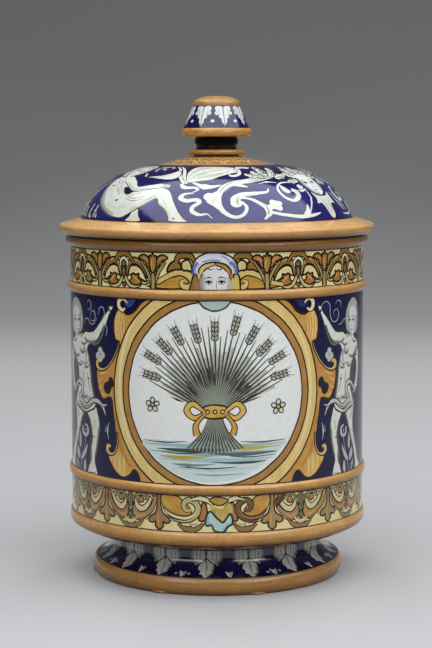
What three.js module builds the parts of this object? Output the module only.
import * as THREE from 'three';

// A glazed earthenware jar with a domed lid, turned on the wheel.
// Millimetres, +Z up, origin on the table under the middle of the foot.

// Joints between thrown pieces
const SLIP_JOINT = 0.3; // film of slip that lutes two pieces together
const LID_SEAT_GAP = 0.3; // film of glaze between the rim and the brim that sits on it

// Wall of the jar
const WALL_RADIUS = 86.2;
const WALL_THICKNESS = 7;
const FLOOR_THICKNESS = 8;
const FLOOR_CORNER = 6;

// Foot
const FOOT_HEIGHT = 25.1;
const FOOT_SPREAD = 12; // how far the foot stands out beyond its neck
const FOOT_MOULDING_HEIGHT = 9.8;
const FOOT_MOULDING_PROJECTION = 2.1;
const FOOT_WALL = 8;
const FOOT_NECK_HEIGHT = 6.4;

// Storeys of the jar, from the underside upwards
const UNDERSIDE_REACH = 24.2; // from the foot's neck out to the wall
const UNDERSIDE_RISE = 5.6;
const BASE_MOULDING_HEIGHT = 8;
const BASE_MOULDING_PROJECTION = 1.3;
const LOWER_BAND_HEIGHT = 20.8;
const BEAD_HEIGHT = 5.6;
const BEAD_PROJECTION = 1.6;
const PANEL_HEIGHT = 102.2;
const UPPER_BAND_HEIGHT = 20.7;
const RIM_SWELL_HEIGHT = 3.6; // from the foot of the rim moulding to its widest ring
const RIM_TOP_HEIGHT = 2.5; // from its widest ring to the seat
const RIM_PROJECTION = 2.6;

// Lid
const BRIM_OVERHANG = 3.7; // beyond the rim's widest ring
const BRIM_DROP = 4.2; // from the seat to the brim's widest ring
const BRIM_ROUNDING = 2.1;
const BRIM_SLOPE_WIDTH = 10.5;
const BRIM_SLOPE_RISE = 3;
const DOME_RISE = 30.8;
const CROWN_RISE = 4.6; // low cone between the dome and the knob
const CROWN_WIDTH = 19.4;
const CROWN_LEDGE = 2; // flat ring around the knob's neck
const LID_WALL = 6.5;

// Locating ring that hangs under the lid, in the mouth of the jar
const FLANGE_CLEARANCE = 1.2;
const FLANGE_WALL = 5;
const FLANGE_DEPTH = 12;
const FLANGE_CHAMFER = 1.5;

// Knob, from the crown upwards
const KNOB_NECK_RADIUS = 12.8;
const KNOB_NECK_HEIGHT = 0.9;
const COLLAR_PROJECTION = 4.6;
const COLLAR_HEIGHT = 2.8;
const STEM_INSET = 0.9; // how far the stem's waist is drawn in from its neck
const STEM_HEIGHT = 7.5;
const KNOB_RING_OVERHANG = 6.7;
const KNOB_RING_PROJECTION = 1.4;
const KNOB_RING_HEIGHT = 5;
const CONE_HEIGHT = 12.8;
const CONE_TAPER = 5.7;
const CAP_HEIGHT = 5.7;
const CAP_ROUNDING = 4.4;
const CAP_DIP_RADIUS = 7.4;
const CAP_DIP_DEPTH = 2.6;

// Sizes that follow from the ones above
const MOUTH_RADIUS = WALL_RADIUS - WALL_THICKNESS;
const RIM_RADIUS = WALL_RADIUS + RIM_PROJECTION;
const NECK_RADIUS = WALL_RADIUS - UNDERSIDE_REACH;
const BRIM_RADIUS = RIM_RADIUS + BRIM_OVERHANG;
const BRIM_TOP_RADIUS = BRIM_RADIUS - BRIM_ROUNDING;
const DOME_RADIUS = BRIM_TOP_RADIUS - BRIM_SLOPE_WIDTH;
const BRIM_HEIGHT = BRIM_DROP + BRIM_ROUNDING + BRIM_SLOPE_RISE;
const CROWN_TOP_RADIUS = KNOB_NECK_RADIUS + CROWN_LEDGE;
const CROWN_RADIUS = CROWN_TOP_RADIUS + CROWN_WIDTH;
const LID_HEIGHT = BRIM_HEIGHT + DOME_RISE + CROWN_RISE;
const KNOB_RADIUS = KNOB_NECK_RADIUS + KNOB_RING_OVERHANG;
const JAR_HEIGHT = UNDERSIDE_RISE + BASE_MOULDING_HEIGHT + LOWER_BAND_HEIGHT + BEAD_HEIGHT
  + PANEL_HEIGHT + BEAD_HEIGHT + UPPER_BAND_HEIGHT + RIM_SWELL_HEIGHT + RIM_TOP_HEIGHT;

// Sides of each turned piece, and steps along its curves
const SIDES = 60;
const KNOB_SIDES = 40;
const CURVE_STEPS = 5;
const DOME_STEPS = 11;
const QUARTER_STEPS = 3;

// Glazes
const COBALT = new THREE.MeshStandardMaterial({ color: 0x24244f, roughness: 0.18, metalness: 0 });
const OCHRE = new THREE.MeshStandardMaterial({ color: 0xc48a4c, roughness: 0.2, metalness: 0 });
const CREAM = new THREE.MeshStandardMaterial({ color: 0xdfd8ad, roughness: 0.25, metalness: 0 });

// Outlines run in a plane through the axis, as points of radius and height:
// up the outside, inwards over the top and down the inside.

function point(radius, height) {
  return new THREE.Vector2(radius, height);
}

function arc(centre, radiusReach, heightReach, fromDegrees, toDegrees, steps = QUARTER_STEPS) {
  const from = THREE.MathUtils.degToRad(fromDegrees);
  const to = THREE.MathUtils.degToRad(toDegrees);
  const clockwise = to < from;
  const curve = new THREE.EllipseCurve(centre.x, centre.y, radiusReach, heightReach, from, to, clockwise);
  return curve.getPoints(steps);
}

function sweep(start, leaving, arriving, end, steps = CURVE_STEPS) {
  return new THREE.CubicBezierCurve(start, leaving, arriving, end).getPoints(steps);
}

// A bead that stands out of a wall between two heights
function bead(radius, low, height, projection) {
  return arc(point(radius, low + height / 2), projection, height / 2, -90, 90, 2 * QUARTER_STEPS);
}

function turned(name, outline, glaze, sides = SIDES) {
  const distinct = outline.filter((p, i) => i === 0 || p.distanceTo(outline[i - 1]) > 1e-4);
  const geometry = new THREE.LatheGeometry(distinct, sides);
  geometry.rotateX(Math.PI / 2);
  const mesh = new THREE.Mesh(geometry, glaze);
  mesh.name = name;
  return mesh;
}

function closed(outline) {
  return [...outline, outline[0].clone()];
}

// Ring foot: a rolled moulding on the table, then a cove up to a straight neck
function makeFoot() {
  const tread = NECK_RADIUS + FOOT_SPREAD - FOOT_MOULDING_PROJECTION;
  const neckBottom = FOOT_HEIGHT - FOOT_NECK_HEIGHT;
  const coveHeight = neckBottom - FOOT_MOULDING_HEIGHT;
  const coveStart = point(tread, FOOT_MOULDING_HEIGHT);
  const coveEnd = point(NECK_RADIUS, neckBottom);
  const moulding = bead(tread, 0, FOOT_MOULDING_HEIGHT, FOOT_MOULDING_PROJECTION);
  const cove = sweep(
    coveStart,
    point(tread - FOOT_SPREAD * 0.45, FOOT_MOULDING_HEIGHT + coveHeight * 0.12),
    point(NECK_RADIUS + FOOT_SPREAD * 0.08, neckBottom - coveHeight * 0.45),
    coveEnd,
  );
  const inside = [
    point(NECK_RADIUS - FOOT_WALL, FOOT_HEIGHT),
    point(tread - FOOT_WALL, 0),
  ];
  return turned('foot', closed([...moulding, ...cove, point(NECK_RADIUS, FOOT_HEIGHT), ...inside]), COBALT);
}

// Saucer-shaped underside, from the seat on the foot out to the base moulding
function undersideOutline() {
  const mouldingBottom = point(WALL_RADIUS - BASE_MOULDING_PROJECTION, UNDERSIDE_RISE);
  return [
    point(0, 0),
    ...sweep(
      point(NECK_RADIUS, 0),
      point(NECK_RADIUS + UNDERSIDE_REACH * 0.4, UNDERSIDE_RISE * 0.1),
      point(NECK_RADIUS + UNDERSIDE_REACH * 0.78, UNDERSIDE_RISE * 0.42),
      mouldingBottom,
    ),
  ];
}

// Base moulding, half round, tucked further in below than above
function baseMouldingOutline() {
  const middle = UNDERSIDE_RISE + BASE_MOULDING_HEIGHT / 2;
  const inner = point(WALL_RADIUS - BASE_MOULDING_PROJECTION, middle);
  const outer = point(WALL_RADIUS, middle);
  return [
    ...arc(inner, 2 * BASE_MOULDING_PROJECTION, BASE_MOULDING_HEIGHT / 2, -90, 0),
    ...arc(outer, BASE_MOULDING_PROJECTION, BASE_MOULDING_HEIGHT / 2, 0, 90),
  ];
}

function rimOutline() {
  const widest = point(WALL_RADIUS, JAR_HEIGHT - RIM_TOP_HEIGHT);
  return [
    ...arc(widest, RIM_PROJECTION, RIM_SWELL_HEIGHT, -90, 0),
    ...arc(widest, RIM_PROJECTION, RIM_TOP_HEIGHT, 0, 90),
  ];
}

// Straight inner wall with a rounded corner down to the floor
function insideOutline() {
  const corner = point(MOUTH_RADIUS - FLOOR_CORNER, FLOOR_THICKNESS + FLOOR_CORNER);
  return [
    point(MOUTH_RADIUS, JAR_HEIGHT),
    ...arc(corner, FLOOR_CORNER, FLOOR_CORNER, 0, -90),
    point(0, FLOOR_THICKNESS),
  ];
}

function makeJarBody() {
  const lowerBead = UNDERSIDE_RISE + BASE_MOULDING_HEIGHT + LOWER_BAND_HEIGHT;
  const upperBead = lowerBead + BEAD_HEIGHT + PANEL_HEIGHT;
  return turned('jar_body', [
    ...undersideOutline(),
    ...baseMouldingOutline(),
    ...bead(WALL_RADIUS, lowerBead, BEAD_HEIGHT, BEAD_PROJECTION),
    ...bead(WALL_RADIUS, upperBead, BEAD_HEIGHT, BEAD_PROJECTION),
    ...rimOutline(),
    ...insideOutline(),
  ], COBALT);
}

// The dome leaves the brim almost upright and arrives at the crown almost level
function domeOutline(baseRadius, baseHeight, crownRadius, crownHeight) {
  const reach = baseRadius - crownRadius;
  const rise = crownHeight - baseHeight;
  return sweep(
    point(baseRadius, baseHeight),
    point(baseRadius - reach * 0.083, baseHeight + rise * 0.42),
    point(crownRadius + reach * 0.576, crownHeight - rise * 0.048),
    point(crownRadius, crownHeight),
    DOME_STEPS,
  );
}

function brimOutline() {
  return [
    ...arc(point(RIM_RADIUS, BRIM_DROP), BRIM_OVERHANG, BRIM_DROP, -90, 0),
    ...arc(point(BRIM_TOP_RADIUS, BRIM_DROP), BRIM_ROUNDING, BRIM_ROUNDING, 0, 90),
  ];
}

function makeLidShell() {
  const innerRadius = DOME_RADIUS - LID_WALL;
  const shoulder = BRIM_HEIGHT + DOME_RISE;
  const hollow = domeOutline(innerRadius, BRIM_HEIGHT, CROWN_TOP_RADIUS, shoulder - LID_WALL);
  return turned('lid_shell', [
    point(0, shoulder - LID_WALL),
    ...hollow.reverse(),
    point(innerRadius, 0),
    ...brimOutline(),
    ...domeOutline(DOME_RADIUS, BRIM_HEIGHT, CROWN_RADIUS, shoulder),
    point(CROWN_TOP_RADIUS, LID_HEIGHT),
    point(0, LID_HEIGHT),
  ], COBALT);
}

// Locating ring, its upper face luted to the flat underside of the brim
function makeLidFlange() {
  const outer = MOUTH_RADIUS - FLANGE_CLEARANCE;
  const inner = outer - FLANGE_WALL;
  return turned('lid_flange', closed([
    point(inner, 0),
    point(outer - FLANGE_CHAMFER, 0),
    point(outer, FLANGE_CHAMFER),
    point(outer, FLANGE_DEPTH),
    point(inner, FLANGE_DEPTH),
  ]), CREAM);
}

// Stem drawn in to a waist above the collar and swelling under the ring
function stemOutline(low) {
  const high = low + STEM_HEIGHT;
  const waist = KNOB_NECK_RADIUS - STEM_INSET;
  const swell = low + STEM_HEIGHT * 0.3;
  return [
    point(waist, low),
    point(waist, swell),
    ...sweep(
      point(KNOB_NECK_RADIUS, low + STEM_HEIGHT * 0.45),
      point(KNOB_NECK_RADIUS, high - STEM_HEIGHT * 0.1),
      point(KNOB_NECK_RADIUS, high - STEM_HEIGHT * 0.1),
      point(KNOB_RADIUS, high),
    ),
  ];
}

// Cone above the ring, then a rounded cap with a shallow dip in its top
function capOutline(low) {
  const coneTop = low + CONE_HEIGHT;
  const capTop = coneTop + CAP_HEIGHT;
  const capRadius = KNOB_RADIUS - CONE_TAPER;
  return [
    point(KNOB_RADIUS, low),
    point(capRadius, coneTop),
    ...arc(point(capRadius - CAP_ROUNDING, coneTop), CAP_ROUNDING, CAP_HEIGHT, 0, 90, CURVE_STEPS),
    ...arc(point(0, capTop), CAP_DIP_RADIUS, CAP_DIP_DEPTH, 0, -90, CURVE_STEPS),
  ];
}

function makeKnob() {
  const collar = KNOB_NECK_HEIGHT;
  const stem = collar + COLLAR_HEIGHT;
  const ring = stem + STEM_HEIGHT;
  return turned('knob', [
    point(0, 0),
    point(KNOB_NECK_RADIUS, 0),
    ...bead(KNOB_NECK_RADIUS, collar, COLLAR_HEIGHT, COLLAR_PROJECTION),
    ...stemOutline(stem),
    ...bead(KNOB_RADIUS, ring, KNOB_RING_HEIGHT, KNOB_RING_PROJECTION),
    ...capOutline(ring + KNOB_RING_HEIGHT),
  ], OCHRE, KNOB_SIDES);
}

// The jar stands on its foot; the lid is a group of its own that lifts off.
function assemble() {
  const jar = new THREE.Group();
  const body = makeJarBody();
  body.position.z = FOOT_HEIGHT + SLIP_JOINT;
  jar.add(makeFoot(), body);

  const lid = new THREE.Group();
  lid.position.z = body.position.z + JAR_HEIGHT + LID_SEAT_GAP;
  const flange = makeLidFlange();
  flange.position.z = -FLANGE_DEPTH - SLIP_JOINT;
  const knob = makeKnob();
  knob.position.z = LID_HEIGHT + SLIP_JOINT;
  lid.add(makeLidShell(), flange, knob);

  const whole = new THREE.Group();
  whole.add(jar, lid);
  return whole;
}

export default assemble();
